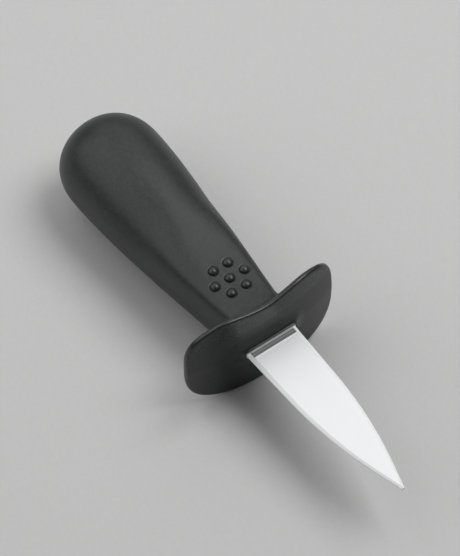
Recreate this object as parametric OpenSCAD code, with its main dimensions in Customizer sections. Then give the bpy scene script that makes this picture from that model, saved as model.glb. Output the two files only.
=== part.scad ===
// Oyster knife: a short lancet blade, a core moulded round its tang, and a one-piece
// moulded handle with a swept hand guard and a patch of thumb pips.
// +X runs along the blade to its point and +Z is up. The knife lies on z = 0, on its butt
// and its guard, which tips the blade up a little.

/* [Blade] */
// Length of blade that shows in front of the guard
blade_len = 63.6; // [50:0.2:80]
// Width of the blade where it leaves the guard
blade_w = 17.8; // [14:0.1:19]
// Thickness of the unground strip at the guard
blade_t = 2.6; // [2:0.1:3.4]
// Length of the unground strip
strip_len = 0.8; // [0.4:0.1:3]
// Length of the grinding wheel's first run-out, next to the strip
first_run = 0.5; // [0.3:0.1:1.5]
// Length of the flat between the two run-outs
step_len = 0.4; // [0.2:0.1:1.5]
// Length of the second run-out, next to the ground face
second_run = 0.9; // [0.3:0.1:2]
// Thickness at the start of the ground face
face_t = 2.0; // [1.4:0.1:2.4]
// Thickness of the ground face at the point
point_t = 1.2; // [0.8:0.1:1.6]
// Thickness of the blunt cutting edge
edge_t = 0.4; // [0.2:0.1:0.6]
// Angle of each edge bevel to the blade's plane
bevel_angle = 35; // [25:1:50]
// Angle by which each edge closes in near the guard
root_taper = 1.8; // [0:0.05:2.4]
// Angle by which each edge closes in at the point
point_taper = 16.2; // [12:0.1:19]
// Radius of the belly that joins those two straight edges
belly_r = 141; // [90:1:180]
// Radius of the rounded point
tip_r = 0.55; // [0.3:0.05:1.2]

/* [Tang] */
// Length of the full-width shoulder held in the guard
shoulder_len = 4; // [3:0.5:6]
// Width of the tang
tang_w = 7.5; // [7:0.5:10.5]
// Length of the tang behind the shoulder
tang_len = 60; // [45:1:66]
// Diameter of the holes that the core is moulded through
tang_hole_d = 4; // [3:0.5:5]
// Distance from the shoulder to the first hole
tang_hole_from = 14; // [10:1:20]
// Distance from the first hole to the second
tang_hole_pitch = 34; // [20:1:36]

/* [Handle] */
// Length of the moulding from its front face to the butt
handle_len = 96.4; // [88:0.2:115]
// Width of the neck behind the guard
neck_w = 18.2; // [17:0.2:25]
// Height of the thumb flat above the blade's middle plane at the neck
neck_top = 9.0; // [7:0.1:11]
// Depth of the neck below the blade's middle plane
neck_bottom = 13.6; // [10:0.1:15]
// How far the neck's widest line lies below the blade's middle plane
neck_drop = 2.5; // [1:0.1:4]
// How fast the grip swells behind the neck, 1 is the even rate from neck to butt
swell = 1.1; // [0.6:0.05:2]
// Squareness of the thumb flat's shoulders, 2 is a plain ellipse
flat_square = 6; // [2:0.1:8]
// Share of the grip over which the thumb flat fades out
flat_share = 0.65; // [0.4:0.01:1]
// Width of the butt
butt_w = 33.6; // [30:0.2:36]
// Height of the butt
butt_h = 32.2; // [28:0.2:36]
// Length of the rounded butt end
butt_len = 16.8; // [14:0.2:30]
// Fullness of the rounded butt end, 2 is a plain ellipse
butt_full = 2.3; // [2:0.05:3]

/* [Guard] */
// Width of the guard
guard_w = 53.4; // [46:0.2:60]
// Height of the guard
guard_h = 36.6; // [36:0.2:42]
// Thickness of the guard's wings
guard_t = 2.4; // [1.8:0.1:4]
// Squareness of the guard's outline, 2 is a plain ellipse
guard_square = 3.3; // [2:0.1:4]
// How far the wing tips lie behind the middle of the guard
guard_sweep = 4.3; // [0:0.1:8]
// Squareness of the guard's rim, 2 is a plain half round
rim_square = 3; // [2:0.1:4]
// Length along the handle of the hollow between the neck and the guard, at the sides and underneath
flare_len = 4; // [3:0.5:10]
// How far the neck widens over that hollow
flare_out = 2.3; // [1:0.1:4]
// Length along the handle of the thumb flat's longer slope up to the guard
thumb_len = 10; // [8:0.2:16]
// How far the thumb flat climbs over that slope
thumb_rise = 4.3; // [2:0.1:6]
// How far the boss round the blade stands out of the guard
boss_len = 1.0; // [0.4:0.1:3]
// Wall of the boss round the blade at its front face
boss_wall = 0.7; // [0.5:0.1:1.5]
// Share of the wing over which the boss fades into the guard
boss_share = 0.3; // [0.2:0.02:0.6]
// Squareness of the boss, 2 is a plain ellipse
boss_square = 6; // [4:0.5:8]
// Draft of the guard's front, away from the mould's parting line at the blade's middle plane
front_draft = 2; // [0:0.5:3]
// How much is trimmed off the guard's lowest edge, which makes it straight where the knife rests on it
guard_trim = 0.1; // [0:0.05:0.5]
// How far the guard's top edge dips in the middle, over the blade
guard_dip = 2.1; // [0:0.1:4]
// Share of the guard's half width over which that edge dips
dip_share = 0.59; // [0.4:0.01:1]

/* [Thumb pips] */
// Diameter of a pip
pip_d = 3.0; // [2:0.1:4]
// Height of a pip
pip_h = 1.0; // [0.5:0.1:1.4]
// Distance between neighbouring pips
pip_pitch = 5.35; // [4.4:0.05:6]
// Distance from the handle's front face to the middle pip
pip_from = 20.6; // [18:0.2:30]

/* [Core] */
// Wall of the outer moulding over the core
skin_t = 3.5; // [3:0.25:5]
// Distance from the handle's front face to the core's front
core_from = 9; // [7:0.5:12]
// Chamfer round the core's front end
core_chamfer = 1.5; // [0.5:0.5:2]
// Depth of the grooves that lock the outer moulding
lock_depth = 0.8; // [0.4:0.1:1.2]
// Width of the locking grooves
lock_width = 3; // [2:0.5:5]
// Number of locking grooves
lock_count = 4; // [2:1:5]

/* [Hidden] */
steel = "#d4d5d6";
core_grey = "#3a3a38";
grip_black = "#2b2c2b";
// Where the ground face starts, how far a blank runs past its cuts, and the reach of a cutting tool
face_from = strip_len + first_run + step_len + second_run;
spare = 1;
reach = 4 * blade_len;
// Points round one ring. Half of it is odd, so that the knife lies on flats and not on corners,
// with a corner on each side on the parting line.
ring_n = 66;
// Steps along each stretch of the handle, and round the core's back end
butt_steps = 9;
grip_steps = 16;
flare_steps = 8;
wing_steps = 4;
rim_steps = 6;
face_steps = 4;
boss_steps = 6;
core_steps = 5;
// Depth of the guard's lowest edge below the blade's middle plane
guard_low = guard_h / 2 - guard_trim;
// Distances behind the front face: back of the guard, middle of its lowest rim, neck, foot of the
// thumb flat's slope, and widest part of the butt
guard_back = boss_len + guard_t;
guard_mid = guard_back - (guard_t - draft_back(guard_low)) / 2;
neck_at = guard_back + flare_len;
thumb_at = guard_back + thumb_len;
belly_at = handle_len - butt_len;
// How far the knife tips up, lying on its butt and its guard, and where the blade's root then is
rest_tilt = atan((guard_low - butt_h / 2) / (belly_at - guard_mid));
root_x = (handle_len - blade_len) / 2 * cos(rest_tilt);
root_z = guard_low * cos(rest_tilt) + guard_mid * sin(rest_tilt);

// Value between a and b at share s, leaving a with slope m and meeting b level
function ease_out(s, a, b, m) =
    a + (b - a) * (3 * s * s - 2 * s * s * s) + m * (s * s * s - 2 * s * s + s);
function mix(a, b, s) = a + (b - a) * s;
function smooth(s) = s * s * (3 - 2 * s);
function clip(s) = max(0, min(1, s));

// Thickness of the ground face at distance x in front of the guard
function face_thick(x) = mix(face_t, point_t, (x - face_from) / (blade_len - face_from));

// Sine or cosine c of a plain circle, pushed out to that of a squared one
function squared(c, n) = sign(c) * pow(abs(c), 2 / n);

// Distance from the middle of a squared ellipse to its edge in direction t
function oval(t, a, b, n) =
    pow(pow(abs(cos(t)) / a, n) + pow(abs(sin(t)) / b, n), -1 / n);

// Grip section at distance u behind the front face: share along the grip, then its sizes.
// The butt's middle lies on the blade's middle plane.
function along(u) = clip((u - neck_at) / (belly_at - neck_at));
function swelled(u, a, b) = ease_out(along(u), a, b, swell * (b - a));
function grip_half(u) = swelled(u, neck_w / 2, butt_w / 2);
function grip_mid(u) = -neck_drop * (1 - smooth(along(u)));
function grip_low(u) = swelled(u, -neck_bottom, -butt_h / 2);
function grip_top(u) = mix(neck_top, butt_h / 2, smooth(clip((u - thumb_at) / (belly_at - thumb_at))));
function grip_square(u) = mix(flat_square, 2, smooth(clip(along(u) / flat_share)));

// Height of the grip's upper side at distance u, y from its middle, with the start of its slope
function grip_height(u, y) =
    let (
        mid = grip_mid(u),
        n = grip_square(u),
        near = clip((thumb_at - u) / thumb_len),
        slope = thumb_rise * (1 - sqrt(1 - near * near))
    )
    mid + (grip_top(u) - mid) * pow(1 - pow(abs(y) / grip_half(u), n), 1 / n) + slope;

// One point of the grip section, in direction t from its middle
function grip_point(u, t) =
    let (
        mid = grip_mid(u),
        up = sin(t) > 0,
        r = oval(t, grip_half(u), up ? grip_top(u) - mid : mid - grip_low(u), up ? grip_square(u) : 2)
    )
    [r * cos(t), mid + r * sin(t)];

// Outline of the guard, and of the boss where it meets the blade
function guard_point(t, inset = 0) =
    let (
        r = oval(t, guard_w / 2 - inset, guard_h / 2 - inset, guard_square),
        near = clip(1 - pow(r * cos(t) / (dip_share * guard_w / 2), 2)),
        dip = sin(t) > 0 ? guard_dip * near * near : 0
    )
    [r * cos(t), max(r * sin(t) - dip, inset - guard_low)];
function boss_point(t) = [
    (blade_w / 2 + boss_wall) * squared(cos(t), boss_square),
    (blade_t / 2 + boss_wall) * squared(sin(t), boss_square)
];

// Length of the flare in direction a, and the grip section at its foot and at its end
function flare(a) = mix(flare_len, thumb_len, pow(max(sin(a), 0), 2));
function foot(a) = guard_back + flare(a);
function foot_point(a) = grip_point(foot(a), a);
function flare_point(a) =
    let (
        up = sin(a) > 0,
        tall = up ? neck_drop + neck_top + thumb_rise : neck_bottom - neck_drop + flare_out,
        r = oval(a, neck_w / 2 + flare_out, tall, up ? flat_square : 2)
    )
    [r * cos(a), r * sin(a) - neck_drop];

// How far the swept guard lies behind its middle at distance y from it
function sweep(y) = guard_sweep * pow(y / (guard_w / 2), 2);

// How far the drafted front lies back at height z from the parting line
function draft_back(z) = abs(z) * tan(front_draft);

// How far the guard's front lies behind the front of the boss at point p
function front_at(p) = boss_len + draft_back(p[1]) + sweep(p[0]);

// Round point: its middle, and where the two straight edges would meet without it
tip_x = blade_len - tip_r;
apex_x = tip_x + tip_r / sin(point_taper);
// Where the straight edges cross on one side, and the middle of the belly's arc
cross_x = (apex_x * tan(point_taper) - blade_w / 2) / (tan(point_taper) - tan(root_taper));
belly_run = belly_r * tan((point_taper - root_taper) / 2);
belly_x = cross_x - belly_run * cos(root_taper) - belly_r * sin(root_taper);
belly_y = blade_w / 2 - (cross_x - belly_run * cos(root_taper)) * tan(root_taper) - belly_r * cos(root_taper);

function ring(f) = [for (i = [0 : ring_n - 1]) f(360 * i / ring_n)];
function placed(p, u) = [-u, p[0], p[1]];

// Rings of the outer moulding, from the butt forward and over the guard to the front of the boss
butt_rings = [
    for (i = [1 : butt_steps])
    let (
        t = 90 * i / butt_steps,
        u = belly_at + butt_len * pow(max(cos(t), 0), 2 / butt_full),
        k = pow(sin(t), 2 / butt_full)
    )
    ring(function (a) placed(grip_point(belly_at, a) * k, u))
];
grip_rings = [
    for (i = [1 : grip_steps])
    ring(function (a)
        let (u = mix(belly_at, foot(a), i / grip_steps))
        placed(grip_point(u, a), u))
];
flare_rings = [
    for (i = [1 : flare_steps])
    let (
        t = 90 * i / flare_steps,
        w = 1 - cos(t)
    )
    ring(function (a)
        let (p = mix(foot_point(a), flare_point(a), w))
        placed(p, guard_back + flare(a) * (1 - sin(t)) + sweep(p[0]) * sin(t)))
];
wing_rings = [
    for (i = [1 : wing_steps])
    ring(function (a)
        let (p = mix(flare_point(a), guard_point(a, guard_t / 2), i / wing_steps))
        placed(p, guard_back + sweep(p[0])))
];
rim_rings = [
    for (i = [1 : rim_steps])
    let (t = 180 * i / rim_steps)
    ring(function (a)
        let (p = guard_point(a, guard_t / 2 * (1 - squared(sin(t), rim_square))))
        placed(p, guard_back + sweep(p[0])
            - (guard_t - draft_back(p[1])) / 2 * (1 - squared(cos(t), rim_square))))
];
face_rings = [
    for (i = [1 : face_steps])
    let (w = mix(1, boss_share, i / face_steps))
    ring(function (a)
        let (p = mix(boss_point(a), guard_point(a, guard_t / 2), w))
        placed(p, front_at(p)))
];
boss_rings = [
    for (i = [1 : boss_steps])
    let (
        t = 90 * i / boss_steps,
        w = boss_share * (1 - sin(t))
    )
    ring(function (a)
        let (p = mix(boss_point(a), guard_point(a, guard_t / 2), w))
        placed(p, front_at(p) * cos(t)))
];

// A closed solid through rings of equal length, with a fan over its first end
module loft(rings, start) {
    n = len(rings[0]);
    last = len(rings) - 1;
    points = concat([start], [for (r = rings) each r]);
    sides = [
        for (k = [0 : last - 1], i = [0 : n - 1])
        let (
            a = 1 + k * n + i,
            b = 1 + k * n + (i + 1) % n
        )
        each [[a, a + n, b], [b, a + n, b + n]]
    ];
    fan = [for (i = [0 : n - 1]) [0, 1 + i, 1 + (i + 1) % n]];
    cap = [[for (i = [n - 1 : -1 : 0]) 1 + last * n + i]];
    polyhedron(points, concat(fan, sides, cap));
}

// Outside of the whole moulding, without its pips
module handle_outside() {
    loft(
        concat(butt_rings, grip_rings, flare_rings, wing_rings, rim_rings, face_rings, boss_rings),
        [-handle_len, 0, 0]
    );
}

// One domed pip on the thumb flat, dx along the handle and dy across it from the middle pip
module pip(dx, dy) {
    dome_r = (pip_d * pip_d / 4 + pip_h * pip_h) / (2 * pip_h);
    u = pip_from + dx;
    translate([-u, dy, grip_height(u, dy) + pip_h - dome_r])
        sphere(r = dome_r, $fn = 32);
}

module thumb_pips() {
    pip(0, 0);
    for (a = [0 : 60 : 300])
        pip(pip_pitch * sin(a), pip_pitch * cos(a));
}

// Core round the tang: a turned shape inside the grip, with locking grooves round it
module core_outside() {
    belly_core_r = min(butt_w, butt_h) / 2 - neck_drop - skin_t;
    neck_core_r = min(neck_w / 2, neck_top + neck_drop) - skin_t;
    back_len = butt_len - skin_t;
    pitch = (belly_at - core_from) / (lock_count + 1);
    translate([0, 0, -neck_drop])
        rotate([0, -90, 0])
        difference() {
            rotate_extrude($fn = 96)
                polygon([
                    [0, core_from],
                    [neck_core_r - core_chamfer, core_from],
                    [neck_core_r, core_from + core_chamfer],
                    for (i = [0 : core_steps])
                    let (t = 90 * i / core_steps)
                    [belly_core_r * cos(t), belly_at + back_len * sin(t)]
                ]);
            for (i = [1 : lock_count])
                translate([0, 0, core_from + i * pitch])
                    lock_groove(mix(neck_core_r, belly_core_r, i / (lock_count + 1)));
        }
}

// Ring that cuts one square locking groove at radius r
module lock_groove(r) {
    rotate_extrude($fn = 96)
        translate([r - lock_depth, -lock_width / 2])
        square([2 * lock_depth, lock_width]);
}

// Region of a cross-section outside a bevelled edge that runs at v = 0
module edge_cut_profile() {
    deep = reach * tan(bevel_angle);
    polygon([
        [0, -edge_t / 2], [0, edge_t / 2],
        [-reach, edge_t / 2 + deep], [reach, edge_t / 2 + deep],
        [reach, -edge_t / 2 - deep], [-reach, -edge_t / 2 - deep]
    ]);
}

// Cuts everything outside a straight bevelled edge through [x, y] that closes in by the angle given
module straight_edge_cut(x, y, taper) {
    translate([x, y, 0])
        rotate([0, 0, -taper])
        rotate([90, 0, 90])
        linear_extrude(height = 2 * reach, center = true)
        edge_cut_profile();
}

// Cuts the curved belly between the two straight edges
module belly_cut() {
    wide = 2 * blade_w;
    deep = wide * tan(bevel_angle);
    translate([belly_x, belly_y, 0])
        rotate([0, 0, 90 - point_taper])
        rotate_extrude(angle = point_taper - root_taper, $fn = 720)
        polygon([
            [belly_r, -edge_t / 2], [belly_r, edge_t / 2],
            [belly_r - wide, edge_t / 2 + deep], [belly_r + wide, edge_t / 2 + deep],
            [belly_r + wide, -edge_t / 2 - deep], [belly_r - wide, -edge_t / 2 - deep]
        ]);
}

// Shapes one edge of the blade from guard to point
module edge_cuts() {
    straight_edge_cut(0, blade_w / 2, root_taper);
    straight_edge_cut(apex_x, 0, point_taper);
    belly_cut();
}

// Side profile of the blade: unground strip, two run-outs with a flat between them, and the ground face
module side_profile() {
    step_t = (blade_t + face_t) / 2;
    outline = [
        [0, blade_t],
        [strip_len, blade_t],
        [strip_len + first_run, step_t],
        [face_from - second_run, step_t],
        [face_from, face_t],
        [blade_len + spare, face_thick(blade_len + spare)]
    ];
    upper = [for (p = outline) [p[0], p[1] / 2]];
    lower = [for (i = [len(outline) - 1 : -1 : 0]) [outline[i][0], -outline[i][1] / 2]];
    polygon(concat(upper, lower));
}

// Everything outside the rounded point
module point_cut() {
    side = tip_r * cos(point_taper);
    linear_extrude(height = 2 * blade_t, center = true)
        difference() {
            polygon([
                [tip_x + tip_r * sin(point_taper), -side], [tip_x + 2 * blade_w, -2 * blade_w],
                [tip_x + 2 * blade_w, 2 * blade_w], [tip_x + tip_r * sin(point_taper), side]
            ]);
            translate([tip_x, 0]) circle(r = tip_r, $fn = 64);
        }
}

// Flat tang behind the shoulder, with the holes that the core is moulded through
module tang() {
    difference() {
        translate([-shoulder_len - tang_len, -tang_w / 2, -blade_t / 2])
            cube([tang_len + shoulder_len / 2, tang_w, blade_t]);
        for (d = [tang_hole_from, tang_hole_from + tang_hole_pitch])
            translate([-shoulder_len - d, 0, -blade_t])
                cylinder(h = 2 * blade_t, d = tang_hole_d, $fn = 48);
    }
}

// The part of the blade that the handle is moulded round
module held_part() {
    translate([-shoulder_len, -blade_w / 2, -blade_t / 2])
        cube([shoulder_len, blade_w, blade_t]);
    tang();
}

module blade_solid() {
    difference() {
        rotate([90, 0, 0])
            linear_extrude(height = blade_w, center = true)
            side_profile();
        edge_cuts();
        mirror([0, 1, 0]) edge_cuts();
        point_cut();
    }
    held_part();
}

module placed_in_frame() {
    translate([root_x, 0, root_z])
        rotate([0, -rest_tilt, 0])
        children();
}

module blade() {
    color(steel)
        placed_in_frame()
        blade_solid();
}

module tang_core() {
    color(core_grey)
        placed_in_frame()
        difference() {
            core_outside();
            held_part();
        }
}

module handle() {
    color(grip_black)
        placed_in_frame()
        difference() {
            union() {
                handle_outside();
                thumb_pips();
            }
            core_outside();
            held_part();
        }
}

blade();
tang_core();
handle();
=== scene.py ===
import math

import bmesh
import bpy
from mathutils import Matrix, Vector


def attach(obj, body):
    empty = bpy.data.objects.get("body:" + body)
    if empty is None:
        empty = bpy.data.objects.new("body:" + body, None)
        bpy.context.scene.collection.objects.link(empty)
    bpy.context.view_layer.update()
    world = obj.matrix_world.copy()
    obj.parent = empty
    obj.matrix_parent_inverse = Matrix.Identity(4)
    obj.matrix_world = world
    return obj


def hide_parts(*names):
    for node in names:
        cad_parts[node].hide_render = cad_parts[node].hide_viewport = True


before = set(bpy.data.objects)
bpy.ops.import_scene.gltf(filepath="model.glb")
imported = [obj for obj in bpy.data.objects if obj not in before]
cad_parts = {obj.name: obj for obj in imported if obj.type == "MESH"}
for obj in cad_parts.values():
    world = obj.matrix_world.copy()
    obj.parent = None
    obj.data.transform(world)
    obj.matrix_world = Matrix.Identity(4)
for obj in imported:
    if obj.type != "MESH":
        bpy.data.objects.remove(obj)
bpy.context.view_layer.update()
scene = bpy.context.scene
scene.view_settings.view_transform = "Standard"

# Sizes are in millimetres, the same as the solids', and become metres when a piece is placed
MM = 0.001

# Blade, measured from its root forward
BLADE_LEN = 63.6
BLADE_W = 17.8
BLADE_T = 2.6
STRIP_LEN = 0.8
FIRST_RUN = 0.5
STEP_LEN = 0.4
SECOND_RUN = 0.9
FACE_T = 2.0
POINT_T = 1.2
FACE_FROM = STRIP_LEN + FIRST_RUN + STEP_LEN + SECOND_RUN

# Grip, measured from the handle's front face back
HANDLE_LEN = 96.4
NECK_W = 18.2
NECK_TOP = 9.0
NECK_BOTTOM = 13.6
NECK_DROP = 2.5
SWELL = 1.1
FLAT_SQUARE = 6.0
FLAT_SHARE = 0.65
BUTT_W = 33.6
BUTT_H = 32.2
BUTT_LEN = 16.8
BUTT_FULL = 2.3

# Guard and the boss round the blade. The trim gives the guard a short straight lowest edge
GUARD_W = 53.4
GUARD_H = 36.6
GUARD_T = 2.4
GUARD_SQUARE = 3.3
GUARD_SWEEP = 4.3
GUARD_TRIM = 0.1
RIM_SQUARE = 3.0
FLARE_LEN = 4.0
FLARE_OUT = 2.3
THUMB_LEN = 10.0
THUMB_RISE = 4.3
BOSS_LEN = 1.0
BOSS_WALL = 0.7
BOSS_SHARE = 0.3
BOSS_SQUARE = 6.0
FRONT_DRAFT = math.radians(2.0)
GUARD_DIP = 2.1
DIP_SHARE = 0.59

# Thumb pips
PIP_D = 3.0
PIP_H = 1.0
PIP_PITCH = 5.35
PIP_FROM = 20.6
PIP_WALL = 0.4
PIP_EDGE = 0.12
PIP_GROOVE = 0.35
PIP_SINK = 0.2

# Slot in the boss: how deep the moulding follows the blade in, and the fine gap round the blade
SLOT_DEPTH = 2.0
SLOT_GAP = 0.2
GAP_DEPTH = 0.7

# Places along the handle
GUARD_BACK = BOSS_LEN + GUARD_T
NECK_AT = GUARD_BACK + FLARE_LEN
THUMB_AT = GUARD_BACK + THUMB_LEN
BELLY_AT = HANDLE_LEN - BUTT_LEN

# The knife lies on its butt and on the guard's lowest rim, which tips the blade up
GUARD_LOW = GUARD_H / 2 - GUARD_TRIM
GUARD_MID = GUARD_BACK - (GUARD_T - GUARD_LOW * math.tan(FRONT_DRAFT)) / 2
REST_TILT = math.atan((GUARD_LOW - BUTT_H / 2) / (BELLY_AT - GUARD_MID))
ROOT = Vector((
    (HANDLE_LEN - BLADE_LEN) / 2 * math.cos(REST_TILT),
    0.0,
    GUARD_LOW * math.cos(REST_TILT) + GUARD_MID * math.sin(REST_TILT),
))

# Mesh density of the moulding
SPOKES = 128
BUTT_RINGS = 22
GRIP_RINGS = 80
FLARE_RINGS = 20
WING_RINGS = 10
RIM_RINGS = 20
FACE_RINGS = 14
BOSS_RINGS = 14
PATCH_CUTS = 5
SMOOTH_ANGLE = math.radians(40)


# Shape of the moulding

def mix(a, b, share):
    return a + (b - a) * share


def smooth(share):
    return share * share * (3 - 2 * share)


def clip(share):
    return max(0.0, min(1.0, share))


def ease_out(share, a, b, slope):
    """Value that leaves a with the slope given and meets b level."""
    rest = share ** 3 - 2 * share ** 2 + share
    return mix(a, b, smooth(share)) + slope * rest


def squared(share, square):
    """Sine or cosine of a plain circle, pushed out to that of a squared one."""
    return math.copysign(abs(share) ** (2 / square), share)


def oval(turn, half_w, half_h, square):
    """Distance from the middle of a squared ellipse to its edge in direction turn."""
    flat = abs(math.cos(turn) / half_w) ** square + abs(math.sin(turn) / half_h) ** square
    return flat ** (-1 / square)


# back is a distance behind the handle's front face, and turn a direction round its middle line

def along(back):
    """Share of the way from the neck to the butt."""
    return clip((back - NECK_AT) / (BELLY_AT - NECK_AT))


def swelled(back, a, b):
    """A size of the grip that is a at the neck and b at the butt."""
    return ease_out(along(back), a, b, SWELL * (b - a))


def grip_half(back):
    """Half the grip's width."""
    return swelled(back, NECK_W / 2, BUTT_W / 2)


def grip_mid(back):
    """Height of the grip's widest line."""
    return -NECK_DROP * (1 - smooth(along(back)))


def grip_low(back):
    """Height of the grip's underside."""
    return swelled(back, -NECK_BOTTOM, -BUTT_H / 2)


def grip_top(back):
    """Height of the grip's top, level under the thumb and rising to the butt."""
    return mix(NECK_TOP, BUTT_H / 2, smooth(clip((back - THUMB_AT) / (BELLY_AT - THUMB_AT))))


def grip_square(back):
    """Squareness of the grip's upper half, which fades from the thumb flat to a plain ellipse."""
    return mix(FLAT_SQUARE, 2, smooth(clip(along(back) / FLAT_SHARE)))


def grip_height(back, side):
    """Height of the thumb flat, with the start of its slope up to the guard."""
    mid = grip_mid(back)
    square = grip_square(back)
    near = clip((THUMB_AT - back) / THUMB_LEN)
    slope = THUMB_RISE * (1 - math.sqrt(1 - near * near))
    crown = (1 - (abs(side) / grip_half(back)) ** square) ** (1 / square)
    return mid + (grip_top(back) - mid) * crown + slope


def grip_point(back, turn):
    """Outline of the grip, as a distance to the side and a height."""
    mid = grip_mid(back)
    up = math.sin(turn) > 0
    half_h = grip_top(back) - mid if up else mid - grip_low(back)
    reach = oval(turn, grip_half(back), half_h, grip_square(back) if up else 2)
    return Vector((reach * math.cos(turn), mid + reach * math.sin(turn)))


def guard_point(turn, inset):
    """Outline of the guard, with the dip over the thumb flat and the straight lowest edge."""
    reach = oval(turn, GUARD_W / 2 - inset, GUARD_H / 2 - inset, GUARD_SQUARE)
    side, height = reach * math.cos(turn), reach * math.sin(turn)
    near = clip(1 - (side / (DIP_SHARE * GUARD_W / 2)) ** 2)
    dip = GUARD_DIP * near * near if height > 0 else 0.0
    return Vector((side, max(height - dip, inset - GUARD_LOW)))


def boss_point(turn):
    """Outline of the boss where it meets the blade."""
    return Vector((
        (BLADE_W / 2 + BOSS_WALL) * squared(math.cos(turn), BOSS_SQUARE),
        (BLADE_T / 2 + BOSS_WALL) * squared(math.sin(turn), BOSS_SQUARE),
    ))


def slot_point(turn, gap=0.0):
    """Outline of the blade's shoulder, which the boss grips, with a gap round it."""
    edge = boss_point(turn)
    half_w, half_t = BLADE_W / 2 + gap, BLADE_T / 2 + gap
    return Vector((max(-half_w, min(half_w, edge.x)), max(-half_t, min(half_t, edge.y))))


def flare(turn):
    """Length of the fillet behind the guard: short round the neck, long under the thumb."""
    return mix(FLARE_LEN, THUMB_LEN, max(math.sin(turn), 0) ** 2)


def flare_point(turn):
    """Outline of the neck where it meets the guard's back."""
    up = math.sin(turn) > 0
    tall = NECK_DROP + NECK_TOP + THUMB_RISE if up else NECK_BOTTOM - NECK_DROP + FLARE_OUT
    reach = oval(turn, NECK_W / 2 + FLARE_OUT, tall, FLAT_SQUARE if up else 2)
    return Vector((reach * math.cos(turn), reach * math.sin(turn) - NECK_DROP))


def sweep(side):
    """How far the guard sweeps back at a distance from the knife's middle."""
    return GUARD_SWEEP * (side / (GUARD_W / 2)) ** 2


def draft_back(height):
    """How far the guard's front leans back, so that it leaves its mould."""
    return abs(height) * math.tan(FRONT_DRAFT)


def front_at(section):
    """How far the guard's front lies behind the front of the boss."""
    return BOSS_LEN + draft_back(section.y) + sweep(section.x)


def placed(section, back):
    """Place of a point of an outline, with +X forward."""
    return Vector((-back, section.x, section.y))


def turn_of(spoke):
    return 2 * math.pi * spoke / SPOKES


# Each ring is a function that gives its own point in every direction

def butt_ring(step):
    lean = math.pi / 2 * step / BUTT_RINGS
    back = BELLY_AT
    if step < BUTT_RINGS:
        back += BUTT_LEN * math.cos(lean) ** (2 / BUTT_FULL)
    share = math.sin(lean) ** (2 / BUTT_FULL)
    return lambda turn: placed(grip_point(BELLY_AT, turn) * share, back)


def grip_ring(step):
    def point(turn):
        back = mix(BELLY_AT, GUARD_BACK + flare(turn), step / GRIP_RINGS)
        return placed(grip_point(back, turn), back)
    return point


def flare_ring(step):
    lean = math.pi / 2 * step / FLARE_RINGS

    def point(turn):
        foot = grip_point(GUARD_BACK + flare(turn), turn)
        section = foot.lerp(flare_point(turn), 1 - math.cos(lean))
        back = GUARD_BACK + flare(turn) * (1 - math.sin(lean)) + sweep(section.x) * math.sin(lean)
        return placed(section, back)
    return point


def wing_ring(step):
    def point(turn):
        section = flare_point(turn).lerp(guard_point(turn, GUARD_T / 2), step / WING_RINGS)
        return placed(section, GUARD_BACK + sweep(section.x))
    return point


def rim_ring(step):
    lean = math.pi * step / RIM_RINGS
    out = squared(math.sin(lean), RIM_SQUARE)
    forward = squared(math.cos(lean), RIM_SQUARE)

    def point(turn):
        section = guard_point(turn, GUARD_T / 2 * (1 - out))
        half_t = (GUARD_T - draft_back(section.y)) / 2
        return placed(section, GUARD_BACK - half_t * (1 - forward) + sweep(section.x))
    return point


def face_ring(step):
    share = mix(1, BOSS_SHARE, step / FACE_RINGS)

    def point(turn):
        section = boss_point(turn).lerp(guard_point(turn, GUARD_T / 2), share)
        return placed(section, front_at(section))
    return point


def boss_ring(step):
    lean = math.pi / 2 * step / BOSS_RINGS
    share = BOSS_SHARE * (1 - math.sin(lean))

    def point(turn):
        section = boss_point(turn).lerp(guard_point(turn, GUARD_T / 2), share)
        return placed(section, front_at(section) * math.cos(lean))
    return point


def moulding_rings():
    """Every ring from the butt over the guard's rim to the slot that grips the blade."""
    rings = []
    for make, count in (
        (butt_ring, BUTT_RINGS), (grip_ring, GRIP_RINGS), (flare_ring, FLARE_RINGS),
        (wing_ring, WING_RINGS), (rim_ring, RIM_RINGS), (face_ring, FACE_RINGS),
        (boss_ring, BOSS_RINGS),
    ):
        rings += [make(step) for step in range(1, count + 1)]
    slot_steps = (SLOT_GAP, 0.0), (SLOT_GAP, GAP_DEPTH), (0.0, GAP_DEPTH), (0.0, SLOT_DEPTH)
    for gap, back in slot_steps:
        rings.append(lambda turn, gap=gap, back=back: placed(slot_point(turn, gap), back))
    return rings


# Modelling

def start_piece(name):
    """Renames the primitive just added, and opens it in edit mode."""
    piece = bpy.context.active_object
    piece.name = name
    piece.data.name = name
    bpy.ops.object.mode_set(mode="EDIT")
    bpy.ops.mesh.select_mode(type="VERT")
    return piece


def shape_ring(piece, point):
    """Moves the ring that is selected to the section that point gives for each spoke."""
    mesh = bmesh.from_edit_mesh(piece.data)
    spoke = mesh.verts.layers.int["spoke"]
    for vert in mesh.verts:
        if vert.select:
            vert.co = point(turn_of(vert[spoke]))
    bmesh.update_edit_mesh(piece.data)


def number_spokes(piece):
    """Numbers the first ring's corners, so that each extruded ring knows its own."""
    mesh = bmesh.from_edit_mesh(piece.data)
    spoke = mesh.verts.layers.int.new("spoke")
    for vert in mesh.verts:
        vert[spoke] = round(math.atan2(vert.co.y, vert.co.x) / (2 * math.pi) * SPOKES) % SPOKES
    bmesh.update_edit_mesh(piece.data)


def pip_middles():
    """Middles of the seven pips: one, and six at the corners of a hexagon round it."""
    yield PIP_FROM, 0.0
    for corner in range(6):
        turn = math.radians(60 * corner)
        yield PIP_FROM + PIP_PITCH * math.sin(turn), PIP_PITCH * math.cos(turn)


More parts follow.
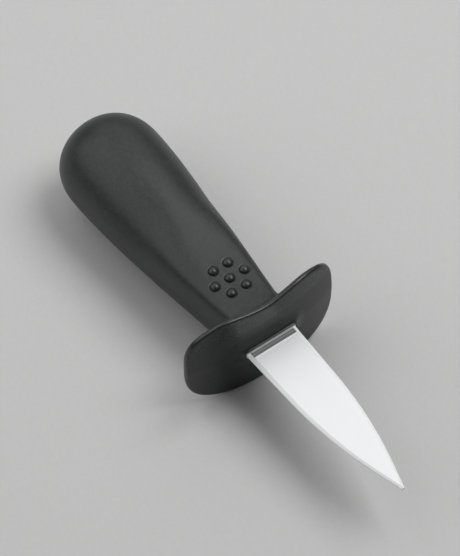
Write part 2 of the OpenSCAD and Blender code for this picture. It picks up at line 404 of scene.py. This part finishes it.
def pip_rise(reach):
    """Height at a distance from a pip's middle: low dome, short wall, groove round the foot."""
    shoulder = PIP_D / 2 - PIP_EDGE
    dome_h = PIP_H - PIP_WALL
    dome_r = (shoulder ** 2 + dome_h ** 2) / (2 * dome_h)
    if reach < shoulder:
        return math.sqrt(dome_r ** 2 - reach ** 2) + PIP_H - dome_r
    if reach < PIP_D / 2:
        return mix(PIP_WALL, -PIP_SINK, smooth((reach - shoulder) / PIP_EDGE))
    return -PIP_SINK * (1 - smooth(clip((reach - PIP_D / 2) / PIP_GROOVE)))


def raise_pips(piece):
    """Divides the thumb flat finely and raises its domed pips, each inside its own groove."""
    reach = PIP_PITCH + PIP_D / 2 + PIP_GROOVE
    bpy.ops.mesh.select_all(action="DESELECT")
    bpy.ops.mesh.select_mode(type="FACE")
    mesh = bmesh.from_edit_mesh(piece.data)
    for face in mesh.faces:
        middle = face.calc_center_median()
        inside = abs(-middle.x - PIP_FROM) < reach and abs(middle.y) < reach
        face.select_set(inside and face.normal.z > 0.5 and middle.z > 0)
    bmesh.update_edit_mesh(piece.data)
    bpy.ops.mesh.subdivide(number_cuts=PATCH_CUTS)
    bpy.ops.mesh.select_mode(type="VERT")
    mesh = bmesh.from_edit_mesh(piece.data)
    middles = list(pip_middles())
    for vert in mesh.verts:
        if vert.select:
            back, side = -vert.co.x, vert.co.y
            vert.co.z = grip_height(back, side)
            for pip_back, pip_side in middles:
                vert.co.z += pip_rise(math.hypot(back - pip_back, side - pip_side))
    bmesh.update_edit_mesh(piece.data)


def place_in_frame(piece):
    """Turns the piece, modelled about the blade's root in millimetres, to how the knife lies."""
    bpy.ops.mesh.select_all(action="SELECT")
    mesh = bmesh.from_edit_mesh(piece.data)
    turn = Matrix.Rotation(-REST_TILT, 4, "Y")
    to_frame = Matrix.Scale(MM, 4) @ Matrix.Translation(ROOT) @ turn
    bmesh.ops.transform(mesh, matrix=to_frame, verts=mesh.verts)
    bmesh.update_edit_mesh(piece.data)
    bpy.ops.object.mode_set(mode="OBJECT")


def moulded_handle(finish):
    """Grip, guard and boss in one moulding, extruded ring by ring from the butt."""
    bpy.ops.object.select_all(action="DESELECT")
    bpy.ops.mesh.primitive_circle_add(vertices=SPOKES, radius=1.0, fill_type="TRIFAN")
    piece = start_piece("moulded_handle")
    number_spokes(piece)
    rings = moulding_rings()
    mesh = bmesh.from_edit_mesh(piece.data)
    for vert in mesh.verts:
        pole = vert.co.length < 0.5
        vert.select_set(not pole)
        if pole:
            vert.co = placed(Vector((0.0, 0.0)), HANDLE_LEN)
    mesh.select_flush_mode()
    for edge in mesh.edges:
        edge.select_set(edge.is_boundary)
    bmesh.update_edit_mesh(piece.data)
    shape_ring(piece, rings[0])
    for ring in rings[1:]:
        bpy.ops.mesh.extrude_region_move()
        shape_ring(piece, ring)
    bpy.ops.mesh.edge_face_add()
    bpy.ops.mesh.select_all(action="SELECT")
    bpy.ops.mesh.normals_make_consistent(inside=False)
    raise_pips(piece)
    place_in_frame(piece)
    bpy.ops.object.shade_smooth_by_angle(angle=SMOOTH_ANGLE)
    piece.data.materials.append(finish)
    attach(piece, "root")
    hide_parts("handle")


# Finishes

# Colours, from dark to light
GRIP_DARK, GRIP_LIGHT = (0.0125, 0.0149, 0.0137), (0.034, 0.0383, 0.0362)
CORE_DARK, CORE_LIGHT = (0.12, 0.12, 0.115), (0.19, 0.19, 0.185)
RUN_OUT_DARK = (0.15, 0.15, 0.153)
STRIP_GREY = (0.5, 0.502, 0.508)
GROUND_DARK, GROUND_LIGHT = (0.86, 0.865, 0.875), (0.92, 0.925, 0.935)
# Near-white colour for the edge bevels: painted light that lifts the bevels, which face away from the
# lamps, to the ground face's brightness
BEVEL_PAINTED_LIGHT = (0.97, 0.975, 0.98)
FLOOR_DARK, FLOOR_LIGHT = (0.56, 0.56, 0.558), (0.60, 0.60, 0.598)

# Each pair is where a change of finish begins and where it is complete.
# Along the blade, from its root forward
STRIP_ENDS = STRIP_LEN - 0.2, STRIP_LEN - 0.1
STEP_STARTS = STRIP_LEN + 0.35, STRIP_LEN + 0.5
STEP_ENDS = STRIP_LEN + 0.6, STRIP_LEN + 0.75
FACE_STARTS = FACE_FROM - 0.5, FACE_FROM - 0.25
# Down from the ground face to the bevel
BEVEL_STARTS = 0.02, 0.06
# Up from the thumb flat to the pips' tops, and back from the pips to the plain grip
PIP_STARTS = NECK_TOP + 0.3, NECK_TOP + 0.9
PIP_PATCH_ENDS = PIP_FROM + 8, PIP_FROM + 9
# Out from the middle of the parting line
SEAM_FADES = 0.03, 0.16


class Term:
    """A number that varies over a surface, used in Python expressions."""

    def __init__(self, finish, socket):
        self.finish = finish
        self.socket = socket

    def maths(self, operation, *others):
        return self.finish.node(
            "ShaderNodeMath", {"operation": operation}, dict(enumerate((self, *others))))

    def __add__(self, other):
        return self.maths("ADD", other)

    def __mul__(self, other):
        return self.maths("MULTIPLY", other)

    def __sub__(self, other):
        return self.maths("SUBTRACT", other)

    def __rsub__(self, other):
        return self.finish.node("ShaderNodeMath", {"operation": "SUBTRACT"}, {0: other, 1: self})

    def __abs__(self):
        return self.maths("ABSOLUTE")

    __radd__ = __add__
    __rmul__ = __mul__

    def rises(self, start, end):
        """0 below start and 1 above end, with a smooth step between."""
        return self.finish.node(
            "ShaderNodeMapRange", {"interpolation_type": "SMOOTHSTEP"},
            {"Value": self, "From Min": start, "From Max": end})

    def falls(self, start, end):
        return 1 - self.rises(start, end)


class Finish:
    """A procedural material on one Principled shader."""

    def __init__(self, name, **constants):
        self.material = bpy.data.materials.new(name)
        self.material.use_nodes = True
        self.nodes = self.material.node_tree.nodes
        self.shader = self.nodes["Principled BSDF"]
        for socket, value in constants.items():
            self.shader.inputs[socket.replace("_", " ")].default_value = value

    def node(self, kind, settings=None, values=None, output=0):
        """Adds a node: its settings first, then the values or links of its sockets."""
        node = self.nodes.new(kind)
        for setting, value in (settings or {}).items():
            setattr(node, setting, value)
        for socket, value in (values or {}).items():
            self.feed(node.inputs[socket], value)
        return Term(self, node.outputs[output])

    def feed(self, socket, value):
        if isinstance(value, Term):
            self.material.node_tree.links.new(value.socket, socket)
        elif hasattr(value, "__len__") and socket.type == "RGBA":
            socket.default_value = (*value, 1.0)
        else:
            socket.default_value = value

    def drive(self, socket, value):
        self.feed(self.shader.inputs[socket], value)

    def place(self):
        """Position in millimetres from the blade's root, square to the blade."""
        spot = self.node("ShaderNodeTexCoord", output="Object")
        return self.node(
            "ShaderNodeMapping", {"vector_type": "TEXTURE"},
            {"Vector": spot, "Location": ROOT * MM, "Rotation": (0.0, -REST_TILT, 0.0),
             "Scale": (MM, MM, MM)})

    def stretched(self, vector, scale):
        return self.node("ShaderNodeMapping", None, {"Vector": vector, "Scale": scale})

    def axes(self, vector):
        split = self.node("ShaderNodeSeparateXYZ", None, {"Vector": vector})
        return [Term(self, output) for output in split.socket.node.outputs]

    def noise(self, vector, scale, detail=2.0, roughness=0.5):
        return self.node(
            "ShaderNodeTexNoise", None,
            {"Vector": vector, "Scale": scale, "Detail": detail, "Roughness": roughness})

    def blend(self, share, first, second):
        """Colour that goes from first to second as share goes from 0 to 1."""
        node = self.nodes.new("ShaderNodeMix")
        node.data_type = "RGBA"
        sockets = {socket.identifier: socket for socket in node.inputs}
        self.feed(sockets["Factor_Float"], share)
        self.feed(sockets["A_Color"], first)
        self.feed(sockets["B_Color"], second)
        return Term(self, next(o for o in node.outputs if o.identifier == "Result_Color"))

    def bump(self, height, depth, strength=1.0):
        self.drive("Normal", self.node(
            "ShaderNodeBump", None, {"Height": height, "Strength": strength, "Distance": depth * MM}))


def spark_eroded_grip():
    """Black moulded grip: speckled mould grain, a faint parting line and handled patches."""
    finish = Finish("spark_eroded_grip", Specular_IOR_Level=0.45)
    spot = finish.place()
    x, _, z = finish.axes(spot)
    back = 0 - x
    grain = finish.noise(spot, 4.5, detail=3.0)
    mottle = finish.noise(spot, 0.5, detail=4.0, roughness=0.6)
    handled = finish.noise(spot, 0.09, detail=2.0)
    speckle = finish.noise(spot, 1.4, detail=3.0, roughness=0.7)
    dropped = back.rises(GUARD_BACK, NECK_AT) * back.falls(NECK_AT, BELLY_AT) * NECK_DROP
    seam = abs(z + dropped).falls(*SEAM_FADES)
    tone = mottle.rises(0.3, 0.7) * 0.35 + handled * 0.25 + speckle.rises(0.35, 0.65) * 0.4
    finish.drive("Base Color", finish.blend(tone, GRIP_DARK, GRIP_LIGHT))
    held = back.rises(GUARD_BACK, THUMB_AT)
    on_pip = z.rises(*PIP_STARTS) * back.falls(*PIP_PATCH_ENDS)
    rough = mottle * 0.14 + handled * 0.06 + held * 0.06 + 0.25 + seam * 0.05
    finish.drive("Roughness", rough - on_pip * 0.1)
    finish.bump(grain * 0.3 + speckle * 0.5 + mottle * 0.2 + seam * 0.3, 0.07, 0.7)
    return finish.material


def ground_steel():
    """Stainless blade: grey strip, two dark run-outs, satin ground faces, and edge bevels painted
    lighter than the faces, a painted highlight that cancels their shade.
    """
    finish = Finish("ground_steel")
    spot = finish.place()
    x, _, z = finish.axes(spot)
    lines = finish.noise(finish.stretched(spot, (14.0, 0.35, 1.0)), 1.0, detail=3.0)
    smudge = finish.noise(spot, 0.15, detail=3.0)
    strip = x.falls(*STRIP_ENDS)
    face = x.rises(*FACE_STARTS)
    runs = (1 - strip) * (1 - face)
    thinning = (FACE_T - POINT_T) / 2 / (BLADE_LEN - FACE_FROM)
    below_face = FACE_T / 2 - (x - FACE_FROM) * thinning - abs(z)
    bevel = below_face.rises(*BEVEL_STARTS)
    tone = lines * 0.6 + smudge * 0.4
    bare = finish.blend(tone, GROUND_DARK, GROUND_LIGHT)
    step = x.rises(*STEP_STARTS) * x.falls(*STEP_ENDS)
    ground = finish.blend(runs * (1 - step * 0.15), bare, RUN_OUT_DARK)
    flat = finish.blend(strip, ground, STRIP_GREY)
    # The bevels get the lighter colour and lose their metal: painted light that evens their shade
    # with the face
    finish.drive("Base Color", finish.blend(bevel, flat, BEVEL_PAINTED_LIGHT))
    finish.drive("Metallic", 0.15 - bevel * 0.15)
    finish.drive("Roughness", lines * 0.08 + smudge * 0.06 + 0.4 + runs * 0.1)
    finish.bump(lines, 0.004, 0.4)
    return finish.material


def moulded_core():
    """Plain core plastic, hidden inside the grip."""
    finish = Finish("moulded_core", Roughness=0.6)
    spot = finish.place()
    speck = finish.noise(spot, 2.0, detail=3.0)
    finish.drive("Base Color", finish.blend(speck, CORE_DARK, CORE_LIGHT))
    finish.bump(speck, 0.02, 0.4)
    return finish.material


def pale_floor():
    """Pale floor with a faint speck."""
    finish = Finish("pale_floor", Roughness=0.85)
    spot = finish.place()
    speck = finish.noise(spot, 0.8, detail=2.0)
    finish.drive("Base Color", finish.blend(speck, FLOOR_DARK, FLOOR_LIGHT))
    return finish.material


def dress(node, material):
    """Gives a carried-over node its finish."""
    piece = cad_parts[node]
    for index in range(len(piece.data.materials)):
        piece.data.materials[index] = material
    if not piece.data.materials:
        piece.data.materials.append(material)


dress("blade", ground_steel())
dress("tang_core", moulded_core())
moulded_handle(spark_eroded_grip())


# Studio

# Floor, in metres
FLOOR_SIZE = 8.0
bpy.ops.object.select_all(action="DESELECT")
bpy.ops.mesh.primitive_plane_add(size=FLOOR_SIZE)
floor = bpy.context.active_object
floor.name = "studio_floor"
floor.data.materials.append(pale_floor())

# Camera: where it stands, and where it shows the blade's root in the picture
PICTURE_W, PICTURE_H = 460, 556
SENSOR = 36.0
AZIMUTH, ELEVATION = math.radians(53.926), math.radians(55.921)
DISTANCE = 1026.6
PIXELS_PER_MM = 3.3917
ROOT_X, ROOT_Y = 271.34, 341.66


def direction_to(azimuth, elevation):
    """Direction to a place round the knife, its azimuth counted from -Y towards +X."""
    level = math.cos(elevation)
    return Vector((math.sin(azimuth) * level, -math.cos(azimuth) * level, math.sin(elevation)))


def camera_axes():
    back = direction_to(AZIMUTH, ELEVATION)
    right = Vector((math.cos(AZIMUTH), math.sin(AZIMUTH), 0.0))
    return right, back.cross(right), back


def add_camera():
    right, up, back = camera_axes()
    data = bpy.data.cameras.new("camera")
    data.sensor_width = SENSOR
    data.lens = PIXELS_PER_MM * DISTANCE * SENSOR / PICTURE_H
    camera = bpy.data.objects.new("camera", data)
    scene.collection.objects.link(camera)
    aside = (ROOT_X - PICTURE_W / 2) / PIXELS_PER_MM
    above = (ROOT_Y - PICTURE_H / 2) / PIXELS_PER_MM
    place = ROOT + back * DISTANCE - right * aside + up * above
    turn = Matrix((right, up, back)).transposed().to_4x4()
    camera.matrix_world = Matrix.Translation(place * MM) @ turn
    scene.camera = camera


def add_softbox(name, azimuth, elevation, distance, width, height, strength):
    """Area lamp that faces the knife. At strength 1 its own surface is as bright as white."""
    direction = direction_to(math.radians(azimuth), math.radians(elevation))
    data = bpy.data.lights.new(name, "AREA")
    data.shape = "RECTANGLE"
    data.size, data.size_y = width, height
    data.energy = strength * math.pi * width * height
    lamp = bpy.data.objects.new(name, data)
    scene.collection.objects.link(lamp)
    turn = direction.to_track_quat("Z", "Y").to_matrix().to_4x4()
    lamp.matrix_world = Matrix.Translation(direction * distance) @ turn


def studio_world():
    """Dim, even fill light from all sides."""
    world = bpy.data.worlds.new("studio")
    world.use_nodes = True
    sky = world.node_tree.nodes["Background"]
    sky.inputs["Color"].default_value = (0.9, 0.9, 0.9, 1.0)
    sky.inputs["Strength"].default_value = 0.05
    scene.world = world


add_camera()
# Azimuth and elevation in degrees, distance, width and height in metres, then strength
add_softbox("back_softbox", 234, 50, 1.0, 1.2, 1.2, 0.85)
add_softbox("left_softbox", 321, 44, 1.1, 1.3, 1.1, 1.25)
add_softbox("right_softbox", 165, 60, 1.2, 0.7, 0.7, 5.0)
studio_world()
